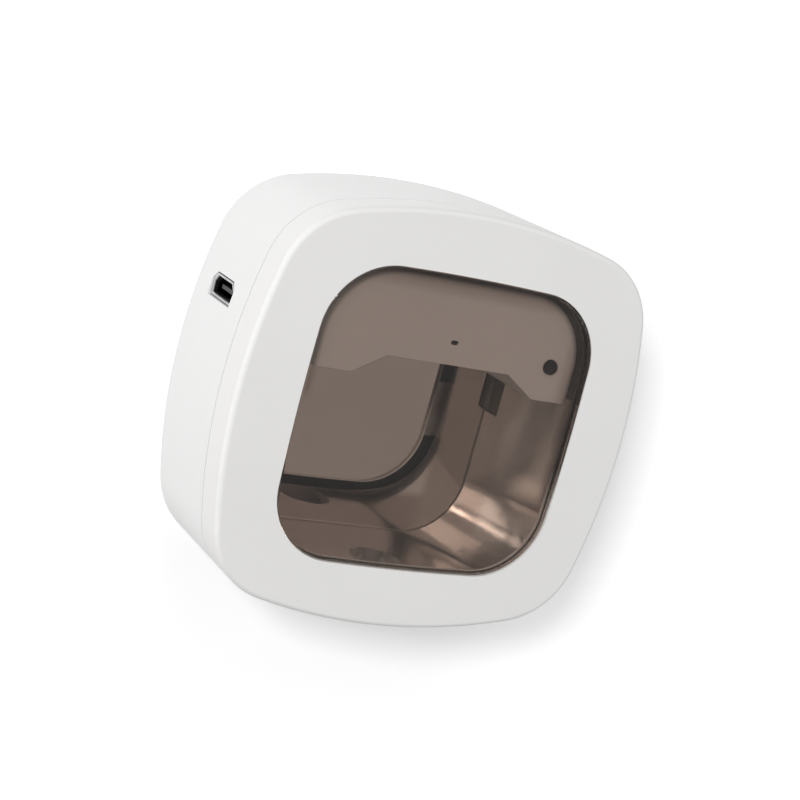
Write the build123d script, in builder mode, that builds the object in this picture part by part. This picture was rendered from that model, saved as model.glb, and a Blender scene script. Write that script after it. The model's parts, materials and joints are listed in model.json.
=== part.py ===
from build123d import *
from math import hypot, sqrt
import os

# UV toothbrush sterilizer: a small bowed-square case that hangs on a wall.
# Millimetres. X runs to the viewer's right, Y into the wall, Z up.
# The origin is the middle of the adhesive pad's wall face.

# Case
case_width = 66.0
case_height = 64.0
case_depth = 27.0
side_bow = 90.0
corner_radius = 12.5
case_wall = 1.8
back_wall = 1.8
front_edge_round = 0.8
rear_edge_round = 2.6

# Parting line between front cover and rear shell
seam_depth = 6.0
seam_gap = 0.2

# Front cover and its window
cover_face = 1.8
frame_side_width = 9.8
frame_top_width = 9.2
window_bow = 350.0
window_corner = 11.0
pane_thickness = 1.5
pane_setback = 0.15
pane_edge_round = 0.3
pane_clearance = 0.1
tape_thickness = 0.1
ledge_width = 0.4
collar_depth = 2.3
collar_wall = 1.2

# Inner deck, the plate seen round the chamber when the cover is open
deck_depth = 6.6
deck_thickness = 1.5
deck_clearance = 0.15

# Reflector tub that forms the brush chamber
mouth_depth = 3.8
mouth_side_margin = 0.7
mouth_top_margin = 0.1
mouth_bottom_drop = 1.15
tub_side_draft = 3.5
tub_top_draft = 1.3
tub_bottom_draft = 0.35
tub_mouth_corner = 11.7
tub_back_corner = 10.0
tub_wall = 1.2
tub_back_gap = 1.1
flange_width = 0.9
flange_thickness = 1.0
niche_length = 3.6
niche_recess = 2.8
niche_drop = 7.5
niche_rise = 1.1
niche_pad_thickness = 1.9
mirror_thickness = 0.4
mirror_clearance = 0.2

# Slot for the neck of the brush
neck_slot_width = 8.4
neck_slot_depth = 12.6
neck_wall = 1.2
neck_channel_lift = 0.35
seal_thickness = 0.7
seal_lip = 0.8
seal_lip_reach = 1.0
seal_height = 4.4
seal_setback = 0.35

# Lamp housing, the raised box with a notched lower edge
housing_face = 2.4
housing_side_gap = 1.7
housing_top_gap = 0.9
housing_corner = 10.5
housing_wall = 1.5
housing_gap = 0.4
housing_edge_round = 1.4
housing_height = 12.7
notch_rise = 3.2
notch_flat = 10.4
notch_side = 6.7

# Lamp
lamp_depth = 15.0
lamp_window_length = 16.0
lamp_window_width = 7.6
lamp_window_thickness = 0.8
lamp_opening_margin = 1.0
fit_clearance = 0.1
led_size = 3.5
lens_radius = 1.4
led_height = 1.2
led_pitch = 8.0
led_board_length = 20.0
led_board_width = 7.0
led_board_thickness = 1.0
post_radius = 1.2

# Main board, switch and indicator
board_depth = 9.0
board_thickness = 1.0
board_margin = 1.0
board_post_radius = 1.7
board_post_x = 9.0
board_post_drop = 4.8
switch_side_margin = 5.0
switch_lift = 5.4
plunger_radius = 1.1
plunger_tip_round = 0.275
plunger_running_gap = 0.1
plunger_flange_radius = 1.6
plunger_flange_thickness = 0.6
plunger_stem_radius = 0.5
plunger_travel = 0.8
plunger_pane_gap = 0.1
switch_size = 4.0
switch_depth = 6.6
spring_wire_radius = 0.14
spring_turns = 3
indicator_lift = 3.4
indicator_width = 1.3
indicator_height = 0.7
indicator_body_width = 2.6
indicator_body_height = 1.6
stem_reach = 0.9
pin_pitch = 1.27
pin_radius = 0.3
led_post_x = 8.6
battery_rib_x = 11.05
tongue_width = 4.2
tongue_thickness = 0.6
indicator_led_depth = 0.7

# Chips on the main board
controller_x = -7.4
controller_lift = 3.8
controller_size = 4.4
charger_x = -14.6
charger_lift = 3.9
charger_size = 3.0
chip_height = 1.0
capacitor_x = 8.0
capacitor_lift = 4.3
capacitor_length = 2.0
capacitor_width = 1.2
capacitor_pitch = 2.2

# Battery
battery_end_margin = 9.0
battery_width = 9.0
battery_thickness = 5.3
battery_edge_round = 1.3
battery_board_gap = 0.2
battery_lift = 2.8

# Charging socket in the left side
socket_depth = 15.5
socket_lift = 6.1
socket_width = 7.6
socket_height = 2.7
socket_length = 5.4
socket_wall = 0.3
socket_flare = 0.35
socket_bevel = 1.0
socket_setback = 0.2
port_gap = 0.15
charge_board_width = 5.6
charge_board_length = 10.0
charge_board_thickness = 0.8
shelf_rib = 1.2
shelf_height = 1.6
lead_radius = 0.4
lead_hole_height = 1.8
lead_pitch = 1.3
lead_bend = 1.1
charge_lead_depth = 12.0
charge_lead_reach = 5.2
battery_lead_depth = 13.2
battery_lead_run = 1.8

# Hinge on the right side
hinge_axis_offset = 0.4
knuckle_radius = 1.5
knuckle_relief = 0.35
hinge_pin_radius = 0.6
pin_running_gap = 0.05
pin_chamfer = 0.15
hinge_length = 20.0
cover_knuckle_length = 10.0
knuckle_end_gap = 0.15
strap_length = 4.0
strap_shoulder = 1.0

# Magnets
magnet_inset = 4.4
magnet_radius = 1.5
magnet_thickness = 2.0
magnet_boss_wall = 0.7
magnet_skin = 0.5

# Screws
upper_screw_offset = 4.9
lower_screw_offset = 5.6
ear_reach = 4.0
screw_radius = 0.85
screw_hole_radius = 1.05
screw_head_radius = 1.9
screw_length = 8.0
boss_radius = 2.2
small_screw_radius = 0.7
small_screw_head_radius = 1.3
small_screw_head = 0.9
recess_reach = 1.1
recess_width = 0.5
recess_sink = 0.6
small_recess_reach = 0.8
small_recess_width = 0.4
small_recess_sink = 0.5
housing_post_inset = 3.5
housing_post_lift = 3.0
housing_post_radius = 1.8
housing_post_length = 9.0
board_screw_length = 3.1
board_screw_hole = 3.6
housing_screw_length = 7.2
housing_screw_hole = 7.5

# Wall pad
pad_width = 44.0
pad_height = 42.0
pad_thickness = 1.0
pad_corner = 8.0

total_depth = case_depth + pad_thickness
window_width = case_width - 2 * frame_side_width
window_height = case_height - 2 * frame_top_width
tub_mouth_width = window_width + 2 * mouth_side_margin
tub_back_width = tub_mouth_width - 2 * tub_side_draft
tub_mouth_top = window_height / 2 - mouth_top_margin
tub_mouth_bottom = -window_height / 2 - mouth_bottom_drop
tub_back_top = tub_mouth_top - tub_top_draft
tub_back_bottom = tub_mouth_bottom + tub_bottom_draft
tub_floor_depth = case_depth - back_wall - tub_back_gap - tub_wall
housing_width = tub_mouth_width - 2 * housing_side_gap
housing_top = tub_mouth_top - housing_top_gap
notch_foot = housing_width / 2 - notch_side
notch_high = housing_top - housing_height
notch_low = notch_high - notch_rise
niche_top = notch_low + niche_rise
niche_bottom = notch_low - niche_drop
niche_front = tub_floor_depth - niche_length
niche_reach = tub_back_width / 2 + niche_recess
board_post_z = housing_top - board_post_drop
switch_x = housing_width / 2 - switch_side_margin
switch_z = notch_low + switch_lift
indicator_z = notch_high + indicator_lift
battery_length = housing_width - 2 * battery_end_margin
battery_depth = board_depth + board_thickness + small_screw_head + battery_board_gap
battery_bottom = notch_high + housing_wall + battery_lift
socket_z = notch_low + socket_lift
housing_post_x = tub_back_width / 2 - housing_post_inset
housing_post_z = notch_low + housing_post_lift
hinge_axis_x = case_width / 2 + hinge_axis_offset
magnet_x = magnet_inset - case_width / 2
hinge_axis_y = seam_depth - total_depth
cover_rear = seam_depth - seam_gap / 2
shell_front = seam_depth + seam_gap / 2
shell_floor = case_depth - back_wall
pane_back = pane_setback + pane_thickness
flange_front = deck_depth + deck_thickness
boss_front = flange_front + flange_thickness

os.makedirs("parts", exist_ok=True)


def plane_at(depth):
    """Plane parallel to the front face and facing it, a depth behind it."""
    return Plane(origin=(0, depth - total_depth, 0), x_dir=(1, 0, 0), z_dir=(0, -1, 0))


def bowed_outline(width, height, bow, corner):
    """Outline whose four sides are shallow arcs, with rounded corners."""
    with BuildSketch(Plane.XY, mode=Mode.PRIVATE) as outline:
        with Locations((width / 2 - bow, 0)):
            Circle(bow)
        with Locations((bow - width / 2, 0)):
            Circle(bow, mode=Mode.INTERSECT)
        with Locations((0, height / 2 - bow)):
            Circle(bow, mode=Mode.INTERSECT)
        with Locations((0, bow - height / 2)):
            Circle(bow, mode=Mode.INTERSECT)
        fillet(outline.vertices(), corner)
    return outline.sketch


def corner_centre():
    """Centre of the arc in the case outline's upper right corner."""
    side_centre = side_bow - case_width / 2
    top_centre = side_bow - case_height / 2
    apart = hypot(side_centre, top_centre)
    rise = sqrt((side_bow - corner_radius) ** 2 - (apart / 2) ** 2) / apart
    return rise * top_centre - side_centre / 2, rise * side_centre - top_centre / 2


def case_outline(inset):
    """Outline of the case, drawn in by an inset."""
    return bowed_outline(case_width - 2 * inset, case_height - 2 * inset, side_bow - inset, corner_radius - inset)


def window_outline(inset):
    """Outline of the window opening, drawn in by an inset."""
    return bowed_outline(
        window_width - 2 * inset, window_height - 2 * inset, window_bow - inset, window_corner - inset
    )


def rounded_outline(width, bottom, top, corner):
    """Rounded rectangle, centred across, between two heights."""
    with BuildSketch(Plane.XY, mode=Mode.PRIVATE) as outline:
        with Locations((0, (top + bottom) / 2)):
            RectangleRounded(width, top - bottom, corner)
    return outline.sketch


def side_x(height):
    """Distance of the case's side from the middle at a height above the middle."""
    return case_width / 2 - height**2 / (2 * side_bow)


def save(builder, name):
    """Label a finished piece and write it out."""
    builder.part.label = name
    export_step(builder.part, "parts/" + name + ".step")


def slab(start, end, outline):
    """Add an outline as a plate between two depths."""
    with BuildSketch(plane_at(start)) as profile:
        add(outline)
    extrude(profile.sketch, amount=start - end)


def pocket(start, end, outline):
    """Cut an outline away between two depths."""
    with BuildSketch(plane_at(start)) as profile:
        add(outline)
    extrude(profile.sketch, amount=start - end, mode=Mode.SUBTRACT)


def driver_recess(start, end, places, reach, width):
    """Cut a cross for the screwdriver into screw heads, between two depths."""
    with BuildSketch(plane_at(start)) as profile:
        with Locations(*places):
            Rectangle(2 * reach, width)
            Rectangle(width, 2 * reach)
    extrude(profile.sketch, amount=start - end, mode=Mode.SUBTRACT)


def hinge_knuckle(bottom, length, leans):
    """Barrel and moulded strap of one hinge knuckle. leans is -1 for the cover, 1 for the shell."""
    root_x = case_width / 2 - case_wall / 2
    outer_x = hinge_axis_x + knuckle_radius
    start_y = hinge_axis_y + leans * seam_gap / 2
    with BuildSketch(Plane.XY.offset(bottom)) as profile:
        with BuildLine():
            Polyline(
                (root_x, start_y),
                (outer_x, start_y),
                (outer_x, hinge_axis_y + leans * strap_shoulder),
                (case_width / 2 - seam_gap, hinge_axis_y + leans * strap_length),
                (root_x, hinge_axis_y + leans * strap_length),
                close=True,
            )
        make_face()
        with Locations((hinge_axis_x, hinge_axis_y)):
            Circle(knuckle_radius)
    extrude(profile.sketch, amount=length)


def hinge_relief(bottom, length):
    """Round clearance cut that lets the neighbouring knuckle turn."""
    with BuildSketch(Plane.XY.offset(bottom)) as profile:
        with Locations((hinge_axis_x, hinge_axis_y)):
            Circle(knuckle_radius + knuckle_relief)
    extrude(profile.sketch, amount=length, mode=Mode.SUBTRACT)


def hinge_bore(radius):
    """Bore for the hinge pin."""
    with BuildSketch(Plane.XY.offset(-hinge_length / 2)) as profile:
        with Locations((hinge_axis_x, hinge_axis_y)):
            Circle(radius)
    extrude(profile.sketch, amount=hinge_length, mode=Mode.SUBTRACT)


def neck_slot_outline(grow):
    """Seen from above: slot that is open to the front and round at its back end."""
    radius = neck_slot_width / 2 + grow
    centre_y = neck_slot_depth - neck_slot_width / 2 - total_depth
    front_y = -total_depth
    with BuildSketch(Plane.XY, mode=Mode.PRIVATE) as outline:
        with Locations((0, centre_y)):
            Circle(radius)
        with Locations((0, (centre_y + front_y) / 2)):
            Rectangle(2 * radius, centre_y - front_y)
    return outline.sketch


def housing_profile(inset):
    """Region above the notched lower edge, drawn in by an inset."""
    reach = case_width / 2
    with BuildSketch(Plane.XY, mode=Mode.PRIVATE) as region:
        with BuildLine():
            Polyline(
                (-reach, notch_low + inset),
                (-notch_foot - inset / 2, notch_low + inset),
                (-notch_flat - inset / 2, notch_high + inset),
                (notch_flat + inset / 2, notch_high + inset),
                (notch_foot + inset / 2, notch_low + inset),
                (reach, notch_low + inset),
                (reach, case_height / 2),
                (-reach, case_height / 2),
                close=True,
            )
        make_face()
    return region.sketch


def housing_solid(inset):
    """Outside of the lamp housing, drawn in by an inset, as one solid that is open to the back."""
    mouth = rounded_outline(housing_width - 2 * inset, -housing_top, housing_top - inset, housing_corner - inset)
    back = rounded_outline(
        tub_back_width - 2 * (housing_gap + inset),
        -housing_top,
        tub_back_top - housing_gap - inset,
        tub_back_corner - housing_gap,
    )
    with BuildPart(mode=Mode.PRIVATE) as block:
        slab(housing_face + inset, deck_depth, mouth)
        with BuildSketch(plane_at(deck_depth)) as near_profile:
            add(mouth)
        with BuildSketch(plane_at(tub_floor_depth)) as far_profile:
            add(back)
        loft([near_profile.sketch, far_profile.sketch], ruled=True)
        with BuildSketch(plane_at(housing_face)) as region:
            add(housing_profile(inset))
        extrude(region.sketch, amount=housing_face - tub_floor_depth, mode=Mode.INTERSECT)
    return block.part


def rounded_side(edge):
    """True for the edges of the housing's face that lie on its sides and top, not in the notch."""
    return edge.bounding_box().max.Z > notch_high + housing_wall


def lead_passage(start_x, length):
    """Cut a passage for the charging leads through a side wall."""
    passage_y = charge_lead_depth + lead_pitch / 2 - total_depth
    wall_plane = Plane(origin=(start_x, passage_y, lead_level), x_dir=(0, 1, 0), z_dir=(1, 0, 0))
    with BuildSketch(wall_plane) as profile:
        SlotOverall(lead_pitch + lead_hole_height, lead_hole_height)
    extrude(profile.sketch, amount=length, both=True, mode=Mode.SUBTRACT)


def lead(start_x, end_x, depth, level):
    """Wire that runs sideways, bends forward and ends on the main board's back face."""
    run_y = depth - total_depth
    end_y = board_depth + board_thickness - total_depth
    with BuildLine(mode=Mode.PRIVATE) as route:
        FilletPolyline((start_x, run_y, level), (end_x, run_y, level), (end_x, end_y, level), radius=lead_bend)
    with BuildSketch(Plane(origin=route.line @ 0, z_dir=route.line % 0)) as section:
        Circle(lead_radius)
    sweep(section.sketch, path=route.line)


def port_outline(width, height, bevel):
    """Charging port seen from the left: upper corners bevelled. Local x is depth, y is height."""
    with BuildSketch(Plane.XY, mode=Mode.PRIVATE) as outline:
        with BuildLine():
            Polyline(
                (-width / 2, -height / 2),
                (width / 2, -height / 2),
                (width / 2, height / 2 - bevel),
                (width / 2 - bevel, height / 2),
                (bevel - width / 2, height / 2),
                (-width / 2, height / 2 - bevel),
                close=True,
            )
        make_face()
    return outline.sketch


port_surface_x = -side_x(socket_z)
socket_mouth_x = port_surface_x + socket_setback
port_plane = Plane(
    origin=(0, socket_depth - total_depth, socket_z), x_dir=(0, 1, 0), z_dir=(1, 0, 0)
)
lamp_y = lamp_depth - total_depth
housing_roof = notch_high + housing_wall
battery_y = battery_depth + battery_width / 2 - total_depth
battery_middle = battery_bottom + battery_thickness / 2
plunger_front = pane_back + plunger_pane_gap
plunger_flange_front = housing_face + housing_wall + plunger_running_gap / 2
plunger_flange_back = plunger_flange_front + plunger_flange_thickness
spring_run = switch_depth - plunger_flange_back - 2 * spring_wire_radius
spring_radius = (plunger_stem_radius + plunger_flange_radius) / 2
charge_board_top = socket_z - socket_height / 2
charge_board_outer_x = port_surface_x + case_wall + port_gap
charge_board_inner_x = charge_board_outer_x + charge_board_width
charge_lead_end_x = charge_lead_reach - housing_width / 2
lead_level = charge_board_top + lead_radius
board_post_places = [(-board_post_x, board_post_z), (board_post_x, board_post_z)]
housing_post_places = [(-housing_post_x, housing_post_z), (housing_post_x, housing_post_z)]
led_places = [(-led_pitch / 2, lamp_y), (led_pitch / 2, lamp_y)]
corner_x, corner_z = corner_centre()
screw_places = [
    (-corner_x - upper_screw_offset, corner_z + upper_screw_offset),
    (corner_x + upper_screw_offset, corner_z + upper_screw_offset),
    (-corner_x - lower_screw_offset, -corner_z - lower_screw_offset),
    (corner_x + lower_screw_offset, -corner_z - lower_screw_offset),
]
cover_knuckle_bottom = -cover_knuckle_length / 2
shell_knuckle_length = (hinge_length - cover_knuckle_length) / 2 - knuckle_end_gap


# Front cover: bowed frame with a rounded front edge, a skirt and a collar round the window
with BuildPart() as front_cover:
    slab(0, cover_rear, case_outline(0))
    fillet(front_cover.faces().sort_by(Axis.Y)[0].edges(), front_edge_round)
    pocket(cover_face, cover_rear, case_outline(case_wall))
    slab(cover_face, collar_depth, window_outline(ledge_width - collar_wall))
    pocket(0, collar_depth, window_outline(ledge_width))
    pocket(0, pane_back + tape_thickness, window_outline(0))
    with BuildSketch(plane_at(cover_face)):
        with Locations((magnet_x, 0)):
            Circle(magnet_radius + magnet_boss_wall)
    extrude(amount=cover_face - cover_rear)
    with BuildSketch(plane_at(cover_rear - magnet_thickness)):
        with Locations((magnet_x, 0)):
            Circle(magnet_radius + fit_clearance)
    extrude(amount=-magnet_thickness, mode=Mode.SUBTRACT)
    for low_end in (-hinge_length / 2 - knuckle_end_gap, cover_knuckle_length / 2 - knuckle_end_gap):
        hinge_relief(low_end, shell_knuckle_length + 3 * knuckle_end_gap)
    hinge_knuckle(cover_knuckle_bottom, cover_knuckle_length, -1)
    hinge_bore(hinge_pin_radius + pin_running_gap)
save(front_cover, "front_cover")

# Smoked window pane, pressed in from the front
with BuildPart() as window_pane:
    slab(pane_setback, pane_back, window_outline(pane_clearance))
    fillet(window_pane.faces().sort_by(Axis.Y)[0].edges(), pane_edge_round)
save(window_pane, "window_pane")

# Thin clear tape ring between pane and ledge
with BuildPart() as pane_tape:
    slab(pane_back, pane_back + tape_thickness, window_outline(pane_clearance))
    pocket(pane_back, pane_back + tape_thickness, window_outline(ledge_width))
save(pane_tape, "pane_tape")

# Disc magnet glued into the cover's boss
with BuildPart() as cover_magnet:
    with BuildSketch(plane_at(cover_rear - magnet_thickness)):
        with Locations((magnet_x, 0)):
            Circle(magnet_radius)
    extrude(amount=-magnet_thickness)
save(cover_magnet, "cover_magnet")

# Rear shell: deep tray with bosses, board shelf, port opening, neck slot and hinge knuckles
with BuildPart() as rear_shell:
    slab(shell_front, case_depth, case_outline(0))
    fillet(rear_shell.faces().sort_by(Axis.Y)[-1].edges(), rear_edge_round)
    pocket(shell_front, shell_floor, case_outline(case_wall))
    with BuildSketch(plane_at(boss_front)):
        with Locations(*screw_places):
            Circle(boss_radius)
    extrude(amount=boss_front - shell_floor)
    with BuildSketch(plane_at(boss_front)):
        with Locations(*screw_places):
            Circle(screw_radius)
    extrude(amount=-screw_length, mode=Mode.SUBTRACT)
    for rib_depth in (-charge_board_length / 2, charge_board_length / 2 - shelf_rib):
        with BuildSketch(Plane.XY.offset(socket_z - socket_height / 2 - charge_board_thickness - shelf_height)):
            with Locations(
                (
                    (charge_board_inner_x + port_surface_x + case_wall / 2) / 2,
                    socket_depth + rib_depth + shelf_rib / 2 - total_depth,
                )
            ):
                Rectangle(charge_board_inner_x - port_surface_x - case_wall / 2, shelf_rib)
        extrude(amount=shelf_height)
    with BuildSketch(port_plane.offset(port_surface_x - case_wall)):
        add(
            port_outline(
                socket_width + 2 * (socket_flare + port_gap),
                socket_height + 2 * (socket_flare + port_gap),
                socket_bevel + port_gap,
            )
        )
    extrude(amount=3 * case_wall, mode=Mode.SUBTRACT)
    with BuildSketch(Plane.XY.offset(-case_height / 2)):
        add(neck_slot_outline(0))
    extrude(amount=2 * case_wall, mode=Mode.SUBTRACT)
    hinge_relief(cover_knuckle_bottom - knuckle_end_gap, cover_knuckle_length + 2 * knuckle_end_gap)
    for low_end in (-hinge_length / 2, hinge_length / 2 - shell_knuckle_length):
        hinge_knuckle(low_end, shell_knuckle_length, 1)
    hinge_bore(hinge_pin_radius)
save(rear_shell, "rear_shell")

# Hinge pin, pressed into the shell's knuckles
with BuildPart() as hinge_pin:
    with BuildSketch(Plane.XY.offset(-hinge_length / 2)):
        with Locations((hinge_axis_x, hinge_axis_y)):
            Circle(hinge_pin_radius)
    extrude(amount=hinge_length)
    chamfer(hinge_pin.edges().filter_by(GeomType.CIRCLE), pin_chamfer)
save(hinge_pin, "hinge_pin")

# Inner deck: plate with the chamber mouth, screw holes and a blind magnet pocket behind
with BuildPart() as inner_deck:
    slab(deck_depth, flange_front, case_outline(case_wall + deck_clearance))
    with BuildSketch(plane_at(flange_front)):
        with Locations((magnet_x, 0)):
            Circle(magnet_radius + magnet_boss_wall)
    extrude(amount=-(magnet_thickness + magnet_skin - deck_thickness))
    with BuildSketch(plane_at(deck_depth + magnet_skin)):
        with Locations((magnet_x, 0)):
            Circle(magnet_radius + fit_clearance)
    extrude(amount=-2 * magnet_thickness, mode=Mode.SUBTRACT)
    pocket(
        deck_depth,
        flange_front,
        rounded_outline(
            tub_mouth_width + 2 * (tub_wall + fit_clearance),
            tub_mouth_bottom - tub_wall - fit_clearance,
            tub_mouth_top + tub_wall + fit_clearance,
            tub_mouth_corner + tub_wall + fit_clearance,
        ),
    )
    with BuildSketch(Plane.XY.offset(-case_height / 2)):
        add(neck_slot_outline(neck_wall + fit_clearance))
    extrude(amount=case_height / 2, mode=Mode.SUBTRACT)
    with Locations(plane_at(deck_depth)):
        with Locations(*screw_places):
            CounterSinkHole(screw_hole_radius, screw_head_radius + fit_clearance)
save(inner_deck, "inner_deck")

# Reflector tub: drafted chamber with a flange, four screw ears, a niche in each side and the neck channel
with BuildPart() as reflector_tub:
    with BuildSketch(plane_at(mouth_depth)):
        add(
            rounded_outline(
                tub_mouth_width + 2 * tub_wall,
                tub_mouth_bottom - tub_wall,
                tub_mouth_top + tub_wall,
                tub_mouth_corner + tub_wall,
            )
        )
    with BuildSketch(plane_at(tub_floor_depth + tub_wall)):
        add(
            rounded_outline(
                tub_back_width + 2 * tub_wall,
                tub_back_bottom - tub_wall,
                tub_back_top + tub_wall,
                tub_back_corner + tub_wall,
            )
        )
    loft(ruled=True)
    with BuildSketch(plane_at(niche_front - tub_wall)):
        with Locations((0, (niche_bottom + niche_top) / 2)):
            Rectangle(2 * (niche_reach + tub_wall), niche_top - niche_bottom + 2 * tub_wall)
    extrude(amount=niche_front - tub_floor_depth - 2 * tub_wall)
    with BuildSketch(plane_at(flange_front)):
        add(
            rounded_outline(
                tub_mouth_width + 2 * (tub_wall + flange_width),
                tub_mouth_bottom - tub_wall - flange_width,
                tub_mouth_top + tub_wall + flange_width,
                tub_mouth_corner + tub_wall + flange_width,
            )
        )
        for place_x, place_z in screw_places:
            toward_x = place_x - ear_reach * place_x / hypot(place_x, place_z)
            toward_z = place_z - ear_reach * place_z / hypot(place_x, place_z)
            ear_middle = ((place_x + toward_x) / 2, (place_z + toward_z) / 2)
            SlotCenterPoint(ear_middle, (place_x, place_z), 2 * boss_radius)
    extrude(amount=-flange_thickness)
    with BuildSketch(Plane.XY.offset(case_wall + neck_channel_lift - case_height / 2)):
        add(neck_slot_outline(neck_wall))
        with Locations((0, deck_depth / 2 - total_depth)):
            Rectangle(case_width, deck_depth, mode=Mode.SUBTRACT)
    extrude(until=Until.NEXT)
    with BuildSketch(plane_at(mouth_depth)):
        add(rounded_outline(tub_mouth_width, tub_mouth_bottom, tub_mouth_top, tub_mouth_corner))
    with BuildSketch(plane_at(tub_floor_depth)):
        add(rounded_outline(tub_back_width, tub_back_bottom, tub_back_top, tub_back_corner))
    loft(ruled=True, mode=Mode.SUBTRACT)
    with BuildSketch(plane_at(niche_front)):
        with Locations((0, (niche_bottom + niche_top) / 2)):
            Rectangle(2 * niche_reach, niche_top - niche_bottom)
    extrude(amount=niche_front - tub_floor_depth, mode=Mode.SUBTRACT)
    with BuildSketch(Plane.XY.offset(-case_height / 2)):
        add(neck_slot_outline(0))
    extrude(amount=case_height / 2, mode=Mode.SUBTRACT)
    with BuildSketch(plane_at(flange_front)):
        with Locations(*screw_places):
            Circle(screw_hole_radius)
    extrude(amount=-flange_thickness, mode=Mode.SUBTRACT)
    with BuildSketch(plane_at(tub_floor_depth)):
        with Locations(*housing_post_places):
            Circle(small_screw_radius)
    extrude(amount=-tub_wall, mode=Mode.SUBTRACT)
    lead_passage(-tub_mouth_width / 2, 2 * tub_wall)
save(reflector_tub, "reflector_tub")

# Two soft dark pads glued into the niches
with BuildPart() as niche_pads:
    with BuildSketch(plane_at(niche_front + fit_clearance)):
        with Locations((0, (niche_bottom + niche_top) / 2)):
            with GridLocations(2 * niche_reach - niche_pad_thickness, 0, 2, 1):
                Rectangle(niche_pad_thickness, niche_top - niche_bottom - 2 * fit_clearance)
    extrude(amount=niche_front + 2 * fit_clearance - tub_floor_depth)
save(niche_pads, "niche_pads")

# Polished plate on the back wall of the chamber, below the housing
with BuildPart() as back_mirror:
    slab(
        tub_floor_depth - mirror_thickness,
        tub_floor_depth,
        rounded_outline(
            tub_back_width - 2 * mirror_clearance,
            tub_back_bottom + mirror_clearance,
            tub_back_top,
            tub_back_corner - mirror_clearance,
        ),
    )
    pocket(tub_floor_depth - mirror_thickness, tub_floor_depth, housing_profile(-mirror_clearance))
save(back_mirror, "back_mirror")

# Lamp housing: notched box open at the back, with posts, battery ribs and a lamp opening in its underside
with BuildPart() as lamp_housing:
    add(housing_solid(0))
    fillet(lamp_housing.faces().sort_by(Axis.Y)[0].edges().filter_by(rounded_side), housing_edge_round)
    add(housing_solid(housing_wall), mode=Mode.SUBTRACT)
    with BuildSketch(plane_at(housing_face + housing_wall)):
        with Locations(*board_post_places):
            Circle(board_post_radius)
    extrude(amount=housing_face + housing_wall - board_depth)
    with BuildSketch(plane_at(board_depth)):
        with Locations(*board_post_places):
            Circle(small_screw_radius)
    extrude(amount=board_screw_hole, mode=Mode.SUBTRACT)
    with BuildSketch(plane_at(tub_floor_depth)):
        with Locations(*housing_post_places):
            Circle(housing_post_radius)
    extrude(amount=housing_post_length)
    add(housing_solid(0), mode=Mode.INTERSECT)
    with BuildSketch(plane_at(tub_floor_depth)):
        with Locations(*housing_post_places):
            Circle(small_screw_radius)
    extrude(amount=housing_screw_hole, mode=Mode.SUBTRACT)
    with BuildSketch(Plane.XY.offset(notch_high + housing_wall / 2)):
        with Locations((-battery_rib_x, battery_y), (battery_rib_x, battery_y)):
            Rectangle(housing_wall, battery_width)
    extrude(amount=battery_bottom - notch_high - housing_wall / 2)
    with BuildSketch(Plane.XY.offset(housing_roof)):
        with Locations((-led_post_x, lamp_y), (led_post_x, lamp_y)):
            Circle(post_radius)
    extrude(amount=led_height)
    with BuildSketch(Plane.XY.offset(notch_high)):
        with Locations((0, lamp_y)):
            Rectangle(lamp_window_length + 2 * fit_clearance, lamp_window_width + 2 * fit_clearance)
    extrude(amount=lamp_window_thickness, mode=Mode.SUBTRACT)
    with BuildSketch(Plane.XY.offset(notch_high)):
        with Locations((0, lamp_y)):
            Rectangle(
                lamp_window_length - 2 * lamp_opening_margin, lamp_window_width - 2 * lamp_opening_margin
            )
    extrude(amount=housing_wall, mode=Mode.SUBTRACT)
    with BuildSketch(plane_at(housing_face)):
        with Locations((switch_x, switch_z)):
            Circle(plunger_radius + plunger_running_gap)
        with Locations((0, indicator_z)):
            SlotOverall(indicator_width, indicator_height)
    extrude(amount=-housing_wall, mode=Mode.SUBTRACT)
    lead_passage(-housing_width / 2, 2 * housing_wall)
save(lamp_housing, "lamp_housing")

# Clear plate that covers the lamps, let into the housing's underside
with BuildPart() as lamp_window:
    with BuildSketch(Plane.XY.offset(notch_high)):
        with Locations((0, lamp_y)):
            Rectangle(lamp_window_length, lamp_window_width)
    extrude(amount=lamp_window_thickness)
save(lamp_window, "lamp_window")

# Board that carries the lamps and spreads their heat
with BuildPart() as led_board:
    with BuildSketch(Plane.XY.offset(housing_roof + led_height)):
        with Locations((0, lamp_y)):
            RectangleRounded(led_board_length, led_board_width, post_radius)
    extrude(amount=led_board_thickness)
save(led_board, "led_board")

# UV-C lamps: square ceramic packages with a round lens facing down
with BuildPart() as uvc_leds:
    with BuildSketch(Plane.XY.offset(housing_roof + led_height)):
        with Locations(*led_places):
            Rectangle(led_size, led_size)
    extrude(amount=-led_height / 2)
    with BuildSketch(Plane.XY.offset(housing_roof + led_height / 2)):
        with Locations(*led_places):
            Circle(lens_radius)
    extrude(amount=-led_height / 2)
save(uvc_leds, "uvc_leds")

# Main board behind the housing's face, cut to the same notch
with BuildPart() as main_board:
    slab(
        board_depth,
        board_depth + board_thickness,
        rounded_outline(
            housing_width - 2 * (housing_wall + board_margin),
            -housing_top,
            housing_top - housing_wall - board_margin,
            housing_corner - housing_wall - board_margin,
        ),
    )
    with BuildSketch(plane_at(board_depth)):
        add(housing_profile(housing_wall + board_margin))
    extrude(amount=-board_thickness, mode=Mode.INTERSECT)
    with BuildSketch(plane_at(board_depth)):
        with Locations(*board_post_places):
            Circle(small_screw_radius)
    extrude(amount=-board_thickness, mode=Mode.SUBTRACT)
save(main_board, "main_board")

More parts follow.
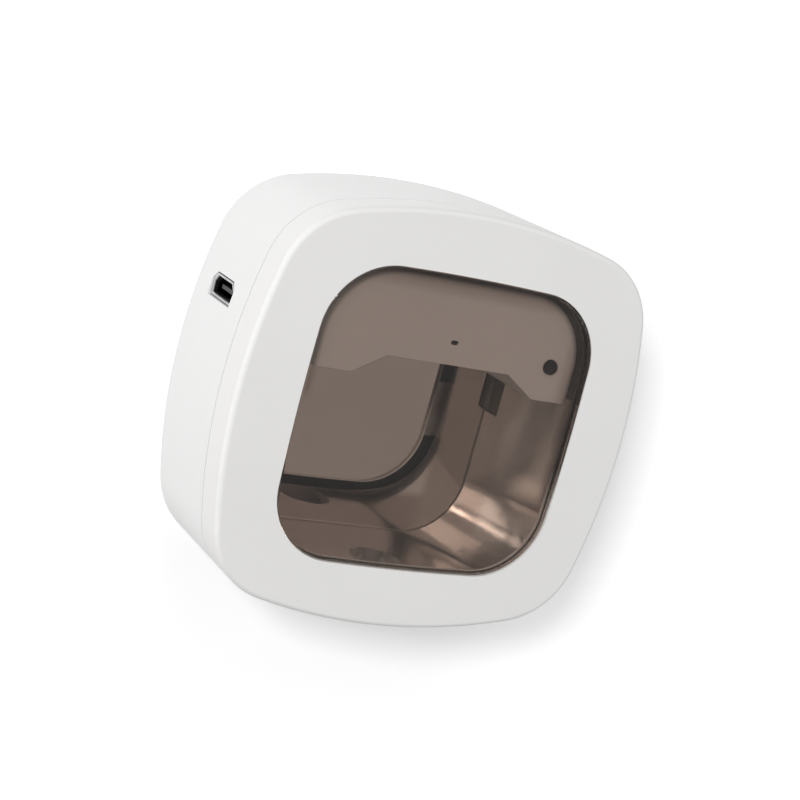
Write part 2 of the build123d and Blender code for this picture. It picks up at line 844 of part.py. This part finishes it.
# Controller, charger and four capacitors on the front of the main board
with BuildPart() as board_chips:
    with BuildSketch(plane_at(board_depth)):
        with Locations((controller_x, notch_high + controller_lift)):
            Rectangle(controller_size, controller_size)
        with Locations((charger_x, notch_high + charger_lift)):
            Rectangle(charger_size, charger_size)
        with Locations((capacitor_x, notch_high + capacitor_lift)):
            with GridLocations(2 * capacitor_pitch, capacitor_pitch, 2, 2):
                Rectangle(capacitor_length, capacitor_width)
    extrude(amount=chip_height)
save(board_chips, "board_chips")

# Two header pins that join the main board to the lamp board
with BuildPart() as lamp_pins:
    with BuildSketch(plane_at(board_depth + board_thickness)):
        with Locations((0, housing_roof + led_height + led_board_thickness / 2)):
            with GridLocations(2 * pin_pitch, 0, 2, 1):
                Circle(pin_radius)
    extrude(amount=board_depth + board_thickness - lamp_depth + led_board_width / 2)
save(lamp_pins, "lamp_pins")

# Switch body that the plunger's stem works in
with BuildPart() as door_switch:
    with BuildSketch(plane_at(switch_depth)):
        with Locations((switch_x, switch_z)):
            RectangleRounded(switch_size, switch_size, plunger_stem_radius)
    extrude(amount=switch_depth - board_depth)
    with BuildSketch(plane_at(switch_depth)):
        with Locations((switch_x, switch_z)):
            Circle(plunger_stem_radius + plunger_running_gap)
    extrude(amount=-plunger_travel - stem_reach - plunger_running_gap, mode=Mode.SUBTRACT)
save(door_switch, "door_switch")

# Plunger that the closed cover holds in: rod, retaining flange and stem
with BuildPart() as switch_plunger:
    with BuildSketch(plane_at(plunger_front)):
        with Locations((switch_x, switch_z)):
            Circle(plunger_radius)
    extrude(amount=plunger_front - plunger_flange_front)
    fillet(switch_plunger.faces().sort_by(Axis.Y)[0].edges(), plunger_tip_round)
    with BuildSketch(plane_at(plunger_flange_front)):
        with Locations((switch_x, switch_z)):
            Circle(plunger_flange_radius)
    extrude(amount=-plunger_flange_thickness)
    with BuildSketch(plane_at(plunger_flange_back)):
        with Locations((switch_x, switch_z)):
            Circle(plunger_stem_radius)
    extrude(amount=plunger_flange_back - switch_depth - stem_reach)
save(switch_plunger, "switch_plunger")

# Return spring round the stem
with BuildPart() as plunger_spring:
    with BuildLine() as coil:
        Helix(
            pitch=spring_run / spring_turns,
            height=spring_run,
            radius=spring_radius,
            center=(switch_x, plunger_flange_back + spring_wire_radius - total_depth, switch_z),
            direction=(0, 1, 0),
        )
    with BuildSketch(Plane(origin=coil.line @ 0, z_dir=coil.line % 0)):
        Circle(spring_wire_radius)
    sweep(is_frenet=True)
save(plunger_spring, "plunger_spring")

# Light pipe with a slot-shaped tip, and the small lamp behind it
with BuildPart() as light_pipe:
    with BuildSketch(plane_at(housing_face + fit_clearance)):
        with Locations((0, indicator_z)):
            SlotOverall(indicator_width - 2 * fit_clearance, indicator_height - 2 * fit_clearance)
    extrude(amount=fit_clearance - housing_wall)
    with BuildSketch(plane_at(housing_face + housing_wall)):
        with Locations((0, indicator_z)):
            Rectangle(indicator_body_width, indicator_body_height)
    extrude(amount=housing_face + housing_wall + indicator_led_depth - board_depth)
save(light_pipe, "light_pipe")

with BuildPart() as indicator_led:
    with BuildSketch(plane_at(board_depth - indicator_led_depth)):
        with Locations((0, indicator_z)):
            Rectangle(indicator_body_height, indicator_body_height / 2)
    extrude(amount=-indicator_led_depth)
save(indicator_led, "indicator_led")

# Pouch cell on its two ribs, and its leads to the main board
with BuildPart() as battery:
    with BuildSketch(Plane.XY.offset(battery_bottom)):
        with Locations((0, battery_y)):
            Rectangle(battery_length, battery_width)
    extrude(amount=battery_thickness)
    fillet(battery.edges().filter_by(Axis.X), battery_edge_round)
save(battery, "battery")

with BuildPart() as battery_leads:
    for lead_z in (battery_middle - lead_pitch / 2, battery_middle + lead_pitch / 2):
        lead(battery_length / 2, battery_length / 2 + battery_lead_run, battery_lead_depth, lead_z)
save(battery_leads, "battery_leads")

# Charging board on its shelf, with the socket and its contact tongue
with BuildPart() as charge_board:
    with BuildSketch(Plane.XY.offset(charge_board_top)):
        with Locations(((charge_board_inner_x + charge_board_outer_x) / 2, socket_depth - total_depth)):
            Rectangle(charge_board_inner_x - charge_board_outer_x, charge_board_length)
    extrude(amount=-charge_board_thickness)
save(charge_board, "charge_board")

with BuildPart() as usb_socket:
    with BuildSketch(port_plane.offset(socket_mouth_x + 2 * socket_flare)):
        add(port_outline(socket_width, socket_height, socket_bevel))
    extrude(amount=socket_length - 2 * socket_flare)
    with BuildSketch(port_plane.offset(socket_mouth_x)):
        add(port_outline(socket_width + 2 * socket_flare, socket_height + 2 * socket_flare, socket_bevel))
    with BuildSketch(port_plane.offset(socket_mouth_x + 2 * socket_flare)):
        add(port_outline(socket_width, socket_height, socket_bevel))
    loft(ruled=True)
    socket_inner = port_outline(socket_width - 2 * socket_wall, socket_height - 2 * socket_wall, socket_bevel)
    with BuildSketch(port_plane.offset(socket_mouth_x + 2 * socket_flare)):
        add(socket_inner)
    extrude(amount=socket_length - 2 * socket_flare - socket_wall, mode=Mode.SUBTRACT)
    with BuildSketch(port_plane.offset(socket_mouth_x)):
        add(
            port_outline(
                socket_width + 2 * (socket_flare - socket_wall),
                socket_height + 2 * (socket_flare - socket_wall),
                socket_bevel,
            )
        )
    with BuildSketch(port_plane.offset(socket_mouth_x + 2 * socket_flare)):
        add(socket_inner)
    loft(ruled=True, mode=Mode.SUBTRACT)
save(usb_socket, "usb_socket")

with BuildPart() as usb_tongue:
    with BuildSketch(port_plane.offset(socket_mouth_x + socket_length - socket_wall)):
        Rectangle(tongue_width, tongue_thickness)
    extrude(amount=2 * socket_flare + socket_wall - socket_length)
save(usb_tongue, "usb_tongue")

with BuildPart() as charge_leads:
    for step in (0, 1):
        lead(
            charge_board_inner_x - lead_pitch,
            charge_lead_end_x + step * lead_pitch,
            charge_lead_depth + step * lead_pitch,
            lead_level,
        )
save(charge_leads, "charge_leads")

# Disc magnet behind the deck's skin
with BuildPart() as case_magnet:
    with BuildSketch(plane_at(deck_depth + magnet_skin)):
        with Locations((magnet_x, 0)):
            Circle(magnet_radius)
    extrude(amount=-magnet_thickness)
save(case_magnet, "case_magnet")

# Countersunk screws through deck and tub ears into the shell's bosses
with BuildPart() as deck_screws:
    with BuildSketch(plane_at(deck_depth)):
        with Locations(*screw_places):
            Circle(screw_head_radius)
    extrude(amount=-(screw_head_radius - screw_radius), taper=45)
    with BuildSketch(plane_at(deck_depth)):
        with Locations(*screw_places):
            Circle(screw_radius)
    extrude(amount=deck_depth - boss_front - screw_length + screw_radius)
    driver_recess(deck_depth, deck_depth + recess_sink, screw_places, recess_reach, recess_width)
save(deck_screws, "deck_screws")

# Pan-head screws that hold the main board to the housing
with BuildPart() as board_screws:
    with BuildSketch(plane_at(board_depth + board_thickness)):
        with Locations(*board_post_places):
            Circle(small_screw_head_radius)
    extrude(amount=-small_screw_head)
    with BuildSketch(plane_at(board_depth + board_thickness)):
        with Locations(*board_post_places):
            Circle(small_screw_radius)
    extrude(amount=board_screw_length)
    board_head_back = board_depth + board_thickness + small_screw_head
    driver_recess(
        board_head_back,
        board_head_back - small_recess_sink,
        board_post_places,
        small_recess_reach,
        small_recess_width,
    )
save(board_screws, "board_screws")

# Pan-head screws that hold the housing to the tub from behind
with BuildPart() as housing_screws:
    with BuildSketch(plane_at(tub_floor_depth + tub_wall)):
        with Locations(*housing_post_places):
            Circle(small_screw_head_radius)
    extrude(amount=-small_screw_head)
    with BuildSketch(plane_at(tub_floor_depth + tub_wall)):
        with Locations(*housing_post_places):
            Circle(small_screw_radius)
    extrude(amount=housing_screw_length)
    housing_head_back = tub_floor_depth + tub_wall + small_screw_head
    driver_recess(
        housing_head_back,
        housing_head_back - small_recess_sink,
        housing_post_places,
        small_recess_reach,
        small_recess_width,
    )
save(housing_screws, "housing_screws")

# Soft lining of the neck slot, with a narrower lip at its lower end
with BuildPart() as neck_seal:
    seal_bottom = seal_setback - case_height / 2
    with BuildSketch(Plane.XY.offset(seal_bottom)):
        add(neck_slot_outline(0))
        add(neck_slot_outline(-seal_thickness), mode=Mode.SUBTRACT)
        with Locations((0, shell_front / 2 - total_depth)):
            Rectangle(case_width, shell_front, mode=Mode.SUBTRACT)
    extrude(amount=seal_height)
    with BuildSketch(Plane.XY.offset(seal_bottom)):
        add(neck_slot_outline(0))
        add(neck_slot_outline(-seal_lip_reach), mode=Mode.SUBTRACT)
        with Locations((0, shell_front / 2 - total_depth)):
            Rectangle(case_width, shell_front, mode=Mode.SUBTRACT)
    extrude(amount=seal_lip)
save(neck_seal, "neck_seal")

# Adhesive pad on the back
with BuildPart() as wall_pad:
    slab(case_depth, total_depth, rounded_outline(pad_width, -pad_height / 2, pad_height / 2, pad_corner))
save(wall_pad, "wall_pad")
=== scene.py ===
import bpy
import json
from math import sqrt
from mathutils import Matrix, Vector


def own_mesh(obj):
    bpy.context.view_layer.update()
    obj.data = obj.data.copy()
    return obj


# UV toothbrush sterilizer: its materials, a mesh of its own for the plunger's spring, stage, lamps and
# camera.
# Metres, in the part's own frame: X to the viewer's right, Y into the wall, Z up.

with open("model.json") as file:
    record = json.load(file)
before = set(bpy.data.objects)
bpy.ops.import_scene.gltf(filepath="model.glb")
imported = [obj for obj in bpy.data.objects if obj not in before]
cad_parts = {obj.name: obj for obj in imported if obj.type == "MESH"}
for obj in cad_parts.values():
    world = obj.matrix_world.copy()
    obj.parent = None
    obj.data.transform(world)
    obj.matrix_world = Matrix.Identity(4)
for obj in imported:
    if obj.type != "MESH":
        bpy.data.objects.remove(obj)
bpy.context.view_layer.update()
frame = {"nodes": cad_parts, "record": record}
nodes = frame["nodes"]


# Values that many materials share

white = (1, 1, 1, 1)

# A noise texture keeps mostly to the middle of 0 to 1, so this part of it becomes the whole range
noise_low = 0.3
noise_high = 0.7

# Colour sockets of the mix node, whose names occur more than once
mix_under = 6
mix_over = 7
mix_result = 2

plastic_ior = 1.4
acrylic_ior = 1.49

# What each surface of a clear film lets through, besides its tint
film_share = 0.98

# Exponent of the bowed square's outline, and half the width of its soft edge
bow_power = 4
bow_blur = 0.01


# Node helpers

materials = {}


def new_material(name):
    """Node material with a Principled shader and an output, kept by its name."""
    material = bpy.data.materials.new(name)
    material.use_nodes = True
    materials[name] = material
    tree = material.node_tree
    tree.nodes.clear()
    output = tree.nodes.new("ShaderNodeOutputMaterial")
    shader = tree.nodes.new("ShaderNodeBsdfPrincipled")
    tree.links.new(shader.outputs["BSDF"], output.inputs["Surface"])
    return tree, shader, output


def noise(tree, scale, detail):
    """Noise that lies in the object's own coordinates, as a 0 to 1 value."""
    coordinates = tree.nodes.new("ShaderNodeTexCoord")
    texture = tree.nodes.new("ShaderNodeTexNoise")
    texture.inputs["Scale"].default_value = scale
    texture.inputs["Detail"].default_value = detail
    tree.links.new(coordinates.outputs["Object"], texture.inputs["Vector"])
    return texture.outputs["Fac"]


def calculated(tree, operation, first, second=None, clamp=False):
    """Result of a math operation on a socket and, if need be, on another socket or a plain number."""
    step = tree.nodes.new("ShaderNodeMath")
    step.operation = operation
    step.use_clamp = clamp
    tree.links.new(first, step.inputs[0])
    if isinstance(second, (int, float)):
        step.inputs[1].default_value = second
    elif second is not None:
        tree.links.new(second, step.inputs[1])
    return step.outputs[0]


def ranged(tree, value, start, end, low=0.0, high=1.0):
    """Map a value so that it is low at start and high at end."""
    mapping = tree.nodes.new("ShaderNodeMapRange")
    mapping.inputs["From Min"].default_value = start
    mapping.inputs["From Max"].default_value = end
    mapping.inputs["To Min"].default_value = low
    mapping.inputs["To Max"].default_value = high
    tree.links.new(value, mapping.inputs["Value"])
    return mapping.outputs["Result"]


def two_tones(tree, shader, source, first, second):
    """Base colour that blends two colours by a 0 to 1 value."""
    ramp = tree.nodes.new("ShaderNodeValToRGB")
    ramp.color_ramp.elements[0].position = noise_low
    ramp.color_ramp.elements[1].position = noise_high
    ramp.color_ramp.elements[0].color = (*first, 1)
    ramp.color_ramp.elements[1].color = (*second, 1)
    tree.links.new(source, ramp.inputs["Fac"])
    tree.links.new(ramp.outputs["Color"], shader.inputs["Base Color"])


def uneven_gloss(tree, shader, source, low, high):
    """Roughness that varies over the surface, or 0 all over."""
    if high == 0:
        shader.inputs["Roughness"].default_value = 0.0
    else:
        rough = ranged(tree, source, noise_low, noise_high, low, high)
        tree.links.new(rough, shader.inputs["Roughness"])


def skin(tree, shader, grain, strength):
    """Fine relief, whose grain gives its scale and its depth in metres."""
    scale, depth = grain
    relief = tree.nodes.new("ShaderNodeBump")
    relief.inputs["Strength"].default_value = strength
    relief.inputs["Distance"].default_value = depth
    tree.links.new(noise(tree, scale, detail=2.0), relief.inputs["Height"])
    tree.links.new(relief.outputs["Normal"], shader.inputs["Normal"])


def mixed(tree, share, first, second, output):
    """Send two shaders to the output: the first where share is 0, the second where it is 1."""
    mix = tree.nodes.new("ShaderNodeMixShader")
    tree.links.new(share, mix.inputs["Fac"])
    tree.links.new(first, mix.inputs[1])
    tree.links.new(second, mix.inputs[2])
    tree.links.new(mix.outputs["Shader"], output.inputs["Surface"])


def seen_plainly(tree):
    """1 for rays from the camera, off gloss or through glass, and 0 for those that light a matt surface."""
    rays = tree.nodes.new("ShaderNodeLightPath").outputs
    direct = calculated(tree, "ADD", rays["Is Camera Ray"], rays["Is Glossy Ray"], clamp=True)
    return calculated(tree, "ADD", direct, rays["Is Transmission Ray"], clamp=True)


# Kinds of material


def moulded(name, first, second, rough, grain):
    """Moulded or coated surface: two close tones, uneven gloss and a fine skin."""
    tree, shader, _ = new_material(name)
    wide = noise(tree, scale=60, detail=3.0)
    two_tones(tree, shader, wide, first, second)
    uneven_gloss(tree, shader, wide, rough * 0.9, rough * 1.1)
    shader.inputs["IOR"].default_value = plastic_ior
    skin(tree, shader, grain, strength=0.5)


def metal(name, first, second, rough, grain=None, metallic=1.0):
    """Bare, plated or metallised surface with uneven gloss, polished where it has no grain."""
    tree, shader, _ = new_material(name)
    wide = noise(tree, scale=300, detail=4.0)
    two_tones(tree, shader, wide, first, second)
    uneven_gloss(tree, shader, wide, rough * 0.8, rough * 1.25)
    shader.inputs["Metallic"].default_value = metallic
    if grain:
        skin(tree, shader, grain, strength=0.4)


def clear_plastic(name, tint, edge_tint, rough, ior=acrylic_ior):
    """Plastic that bends the view, and lets lamp light and mirrored rays pass as a plain tinted film."""
    tree, shader, output = new_material(name)
    wide = noise(tree, scale=40, detail=2.0)
    two_tones(tree, shader, wide, tint, edge_tint)
    uneven_gloss(tree, shader, wide, rough, rough * 1.5)
    shader.inputs["Transmission Weight"].default_value = 1.0
    shader.inputs["IOR"].default_value = ior
    # Light crosses two surfaces, so each has the square root of the tint
    film = tree.nodes.new("ShaderNodeBsdfTransparent")
    film.inputs["Color"].default_value = (*(film_share * sqrt(share) for share in tint), 1)
    # A ray bent by the plastic counts as glossy too, so transmission is taken off
    rays = tree.nodes.new("ShaderNodeLightPath").outputs
    lit = calculated(tree, "ADD", rays["Is Shadow Ray"], rays["Is Diffuse Ray"], clamp=True)
    mirrored = calculated(tree, "SUBTRACT", rays["Is Glossy Ray"], rays["Is Transmission Ray"], clamp=True)
    passed = calculated(tree, "ADD", lit, mirrored, clamp=True)
    mixed(tree, passed, shader.outputs["BSDF"], film.outputs["BSDF"], output)


# Case, cover and lamp housing

moulded("cover_white", (0.75, 0.745, 0.735), (0.765, 0.76, 0.75), rough=0.52, grain=(2600, 0.000006))
moulded("shell_white", (0.75, 0.75, 0.745), (0.765, 0.765, 0.76), rough=0.52, grain=(2600, 0.000006))
moulded("deck_white", (0.70, 0.70, 0.695), (0.72, 0.72, 0.715), rough=0.38, grain=(2600, 0.000008))
moulded("housing_white", (0.72, 0.71, 0.70), (0.74, 0.73, 0.72), rough=0.36, grain=(2600, 0.000008))
moulded("seal_white", (0.80, 0.79, 0.78), (0.84, 0.83, 0.82), rough=0.5, grain=(1800, 0.00001))
moulded("dark_rubber", (0.075, 0.060, 0.050), (0.095, 0.077, 0.065), rough=0.6, grain=(3000, 0.00001))
moulded("pad_foam", (0.56, 0.56, 0.54), (0.64, 0.64, 0.62), rough=0.75, grain=(1400, 0.00006))

# See-through pieces

clear_plastic("smoked_pane", (0.575, 0.51, 0.47), (0.585, 0.52, 0.48), rough=0.0, ior=1.35)
clear_plastic("clear_window", (0.95, 0.96, 0.97), (0.96, 0.97, 0.98), rough=0.02)
clear_plastic("light_pipe", (0.30, 0.29, 0.28), (0.34, 0.33, 0.32), rough=0.35)
clear_plastic("clear_tape", (0.80, 0.78, 0.76), (0.84, 0.82, 0.80), rough=0.3, ior=1.3)

# Chamber, screws, pin, magnets and socket

metal("reflector", (0.78, 0.75, 0.72), (0.81, 0.78, 0.75), rough=0.15, metallic=0.86)
metal("mirror_plate", (0.74, 0.72, 0.70), (0.75, 0.73, 0.71), rough=0.0)
metal("steel", (0.55, 0.55, 0.56), (0.62, 0.62, 0.63), rough=0.24, grain=(1500, 0.000004))
metal("socket_steel", (0.40, 0.40, 0.40), (0.48, 0.48, 0.48), rough=0.35, grain=(1500, 0.000004))
metal("magnet", (0.60, 0.60, 0.62), (0.66, 0.66, 0.68), rough=0.16, grain=(900, 0.000002))

# Lamps, boards, switch and battery

moulded("board_metal", (0.72, 0.73, 0.74), (0.78, 0.79, 0.80), rough=0.4, grain=(900, 0.00001))
moulded("lamp_ceramic", (0.80, 0.77, 0.66), (0.84, 0.81, 0.72), rough=0.3, grain=(1200, 0.000006))
moulded("board_green", (0.010, 0.075, 0.028), (0.016, 0.10, 0.04), rough=0.3, grain=(700, 0.00001))
moulded("chip_black", (0.008, 0.008, 0.009), (0.014, 0.014, 0.015), rough=0.6, grain=(3000, 0.000012))
metal("gold_pins", (0.80, 0.56, 0.20), (0.86, 0.62, 0.26), rough=0.2, grain=(1500, 0.000002))
moulded("switch_black", (0.012, 0.012, 0.012), (0.02, 0.02, 0.02), rough=0.42, grain=(2600, 0.000008))
moulded("plunger_dark", (0.003, 0.003, 0.003), (0.005, 0.005, 0.005), rough=0.7, grain=(2600, 0.000006))
metal("battery_foil", (0.62, 0.63, 0.65), (0.72, 0.73, 0.75), rough=0.35, grain=(500, 0.00003))
moulded("lead_jacket", (0.30, 0.014, 0.010), (0.36, 0.02, 0.014), rough=0.4, grain=(2000, 0.000008))


# Painted shade on some surfaces


def axes(tree, source):
    """X, Y and Z of the object's own coordinates, or of its normals."""
    coordinates = tree.nodes.new("ShaderNodeTexCoord")
    split = tree.nodes.new("ShaderNodeSeparateXYZ")
    tree.links.new(coordinates.outputs[source], split.inputs["Vector"])
    return split.outputs


def zone(tree, axis, start, end, kind="along"):
    """0 at start and 1 at end: along an axis, both ways from its middle, or by the way a surface faces."""
    source = "Normal" if kind == "facing" else "Object"
    value = axes(tree, source)[axis]
    if kind == "both ways":
        value = calculated(tree, "ABSOLUTE", value)
    return ranged(tree, value, start, end)


def inside_bowed_square(tree, half_width, half_height):
    """1 inside a bowed square round the window, seen from the front, and 0 outside it."""
    places = axes(tree, "Object")
    powers = []
    for axis, half in (("X", half_width), ("Z", half_height)):
        share = calculated(tree, "DIVIDE", places[axis], half)
        powers.append(calculated(tree, "POWER", calculated(tree, "ABSOLUTE", share), bow_power))
    return ranged(tree, calculated(tree, "ADD", *powers), 1 + bow_blur, 1 - bow_blur)


def tone_where(name, tone, *zones, square=None):
    """Put another tone over a material's base colour where all the zones hold, and inside a bowed square."""
    tree = materials[name].node_tree
    masks = [zone(tree, *limits) for limits in zones]
    if square:
        masks.append(inside_bowed_square(tree, *square))
    mask = masks[0]
    for other in masks[1:]:
        mask = calculated(tree, "MULTIPLY", mask, other)
    shader = next(node for node in tree.nodes if node.type == "BSDF_PRINCIPLED")
    under = shader.inputs["Base Color"].links[0].from_socket
    mix = tree.nodes.new("ShaderNodeMix")
    mix.data_type = "RGBA"
    mix.inputs[mix_over].default_value = (*tone, 1)
    tree.links.new(mask, mix.inputs["Factor"])
    tree.links.new(under, mix.inputs[mix_under])
    tree.links.new(mix.outputs[mix_result], shader.inputs["Base Color"])


# Window's collar: painted shade in the upper part of its rebate, and near-black painted shade in two bands
# on its back.
# The gap between the painted bands, level with the middle of the window, stays white.
rebate_painted_shade = (0.10, 0.085, 0.078)
collar_painted_shade = (0.020, 0.016, 0.014)
shade_square = (0.0256, 0.0242)
collar = ("Y", -0.0255, -0.0256)
behind_front = ("Y", -0.02785, -0.02775)
facing_aside = ("Y", 0.6, 0.4, "facing")
facing_back = ("Y", 0.4, 0.6, "facing")
rebate_top = ("Z", -0.0110, -0.0040)
lower_shade_zone = ("Z", -0.0122, -0.0124)
upper_shade_zone = ("Z", -0.0026, -0.0024)
tone_where("cover_white", rebate_painted_shade, collar, behind_front, facing_aside, rebate_top, square=shade_square)
for painted_band in (lower_shade_zone, upper_shade_zone):
    tone_where("cover_white", collar_painted_shade, collar, facing_back, painted_band, square=shade_square)

# Charging socket: painted shade, near black, behind its mouth
socket_painted_shade = (0.006, 0.006, 0.006)
socket_inside = ("X", -0.03195, -0.03175)
tone_where("socket_steel", socket_painted_shade, socket_inside)

# Reflector: painted shade near its mouth, above the floor
mouth_painted_shade = (0.20, 0.17, 0.15)
chamber_mouth = ("Y", -0.0222, -0.0242)
above_floor = ("Z", -0.0125, -0.0095)
tone_where("reflector", mouth_painted_shade, chamber_mouth, above_floor)

# Mirror plate: painted shade beside the niches, at its foot and at its sides
niche_painted_shade = (0.40, 0.35, 0.32)
beside_niches = ("X", 0.0105, 0.0125, "both ways")
niche_height = ("Z", -0.0045, -0.0020)
tone_where("mirror_plate", niche_painted_shade, beside_niches, niche_height)

foot_painted_shade = (0.42, 0.37, 0.35)
plate_foot = ("Z", -0.0165, -0.0180)
tone_where("mirror_plate", foot_painted_shade, plate_foot)

plate_side_painted_shade = (0.50, 0.45, 0.42)
plate_sides = ("X", 0.0125, 0.0140, "both ways")
tone_where("mirror_plate", plate_side_painted_shade, plate_sides)

# Lamp housing: painted shade at the right and upper edges of its face
housing_edge_painted_shade = (0.34, 0.30, 0.28)
edge_start = 0.0190
edge_full = 0.0224
for axis in ("X", "Z"):
    tone_where("housing_white", housing_edge_painted_shade, (axis, edge_start, edge_full))


# Materials go onto the pieces

for part in frame["record"]["subparts"]:
    piece = nodes[part["node"]]
    piece.data.materials.clear()
    piece.data.materials.append(materials[part["material_slot"]])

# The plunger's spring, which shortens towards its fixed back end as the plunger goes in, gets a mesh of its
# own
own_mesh(nodes["plunger_spring"])


# Floor and backdrop, shown only from their front sides

stage_tone = (0.98, 0.98, 0.98, 1)
stage_rough = 0.9
stage_reach = 3.0
backdrop_gap = 0.0005
backdrop_glow = 0.19
floor_middle = -2.9
floor_level = -0.60
floor_glow = 0.3


def stage_material(name, glow):
    """White matt surface with a little light of its own, which lets lamps through and hides from behind."""
    tree, shader, output = new_material(name)
    shader.inputs["Base Color"].default_value = stage_tone
    shader.inputs["Roughness"].default_value = stage_rough
    shader.inputs["Emission Color"].default_value = white
    shader.inputs["Emission Strength"].default_value = glow
    clear = tree.nodes.new("ShaderNodeBsdfTransparent")
    behind = tree.nodes.new("ShaderNodeNewGeometry").outputs["Backfacing"]
    shown = calculated(tree, "SUBTRACT", seen_plainly(tree), behind, clamp=True)
    mixed(tree, shown, clear.outputs["BSDF"], shader.outputs["BSDF"], output)


def stage_plane(name, centre, up, glow):
    """Square plane along X and up, which faces X x up."""
    across = Vector((stage_reach, 0, 0))
    upward = Vector(up) * stage_reach
    corners = [(-1, -1), (1, -1), (1, 1), (-1, 1)]
    points = [tuple(Vector(centre) + across * a + upward * b) for a, b in corners]
    mesh = bpy.data.meshes.new(name)
    mesh.from_pydata(points, [], [(0, 1, 2, 3)])
    stage_material(name, glow)
    mesh.materials.append(materials[name])
    plane = bpy.data.objects.new(name, mesh)
    bpy.context.scene.collection.objects.link(plane)


stage_plane("backdrop", centre=(0, backdrop_gap, 0), up=(0, 0, 1), glow=backdrop_glow)
stage_plane("floor", centre=(0, floor_middle, floor_level), up=(0, 1, 0), glow=floor_glow)


# World: plain white where it is seen, and softer where it lights a matt surface

soft_strength = 0.35
plain_strength = 1.0


def background(tree, strength):
    """White background of a given strength."""
    shader = tree.nodes.new("ShaderNodeBackground")
    shader.inputs["Color"].default_value = white
    shader.inputs["Strength"].default_value = strength
    return shader.outputs["Background"]


world = bpy.data.worlds.new("studio")
bpy.context.scene.world = world
world.use_nodes = True
world_tree = world.node_tree
world_tree.nodes.clear()
world_output = world_tree.nodes.new("ShaderNodeOutputWorld")
soft = background(world_tree, soft_strength)
plain = background(world_tree, plain_strength)
mixed(world_tree, seen_plainly(world_tree), soft, plain, world_output)


# Lamps

middle = Vector((0, -0.014, 0))


def area_lamp(name, place, size, power):
    """Square soft lamp aimed at the middle of the case."""
    data = bpy.data.lights.new(name, "AREA")
    data.shape = "SQUARE"
    data.size = size
    data.energy = power
    lamp = bpy.data.objects.new(name, data)
    lamp.location = place
    lamp.rotation_mode = "QUATERNION"
    lamp.rotation_quaternion = (middle - Vector(place)).to_track_quat("-Z", "Y")
    bpy.context.scene.collection.objects.link(lamp)


area_lamp("key_lamp", (-0.60, -0.746, 0.349), size=0.16, power=4.7)
area_lamp("front_lamp", (-0.787, -0.629, 0.08), size=0.40, power=1.3)
area_lamp("fill_lamp", (-0.12, -0.68, 0.73), size=0.50, power=1.6)
area_lamp("right_lamp", (0.78, -0.61, 0.20), size=0.40, power=1.2)
area_lamp("side_lamp", (-0.95, 0.28, -0.12), size=0.70, power=4.0)
area_lamp("back_lamp", (0.20, 0.80, 0.35), size=0.60, power=2.4)


# Camera at the photograph's viewing angle

camera_place = (-0.13747, -0.25959, 0.05796)
right = Vector((0.86779, -0.42682, 0.25448))
down = Vector((0.13116, -0.29721, -0.94576))
forward = Vector((0.47930, 0.85410, -0.20193))

camera_data = bpy.data.cameras.new("camera")
camera_data.sensor_width = 36.0
camera_data.lens = 84.13
camera_data.clip_start = 0.01
camera_data.clip_end = 20.0
camera = bpy.data.objects.new("camera", camera_data)
turn = Matrix((right, -down, -forward)).transposed().to_4x4()
camera.matrix_world = Matrix.Translation(camera_place) @ turn
bpy.context.scene.collection.objects.link(camera)
bpy.context.scene.camera = camera

bpy.context.scene.view_settings.view_transform = "Standard"
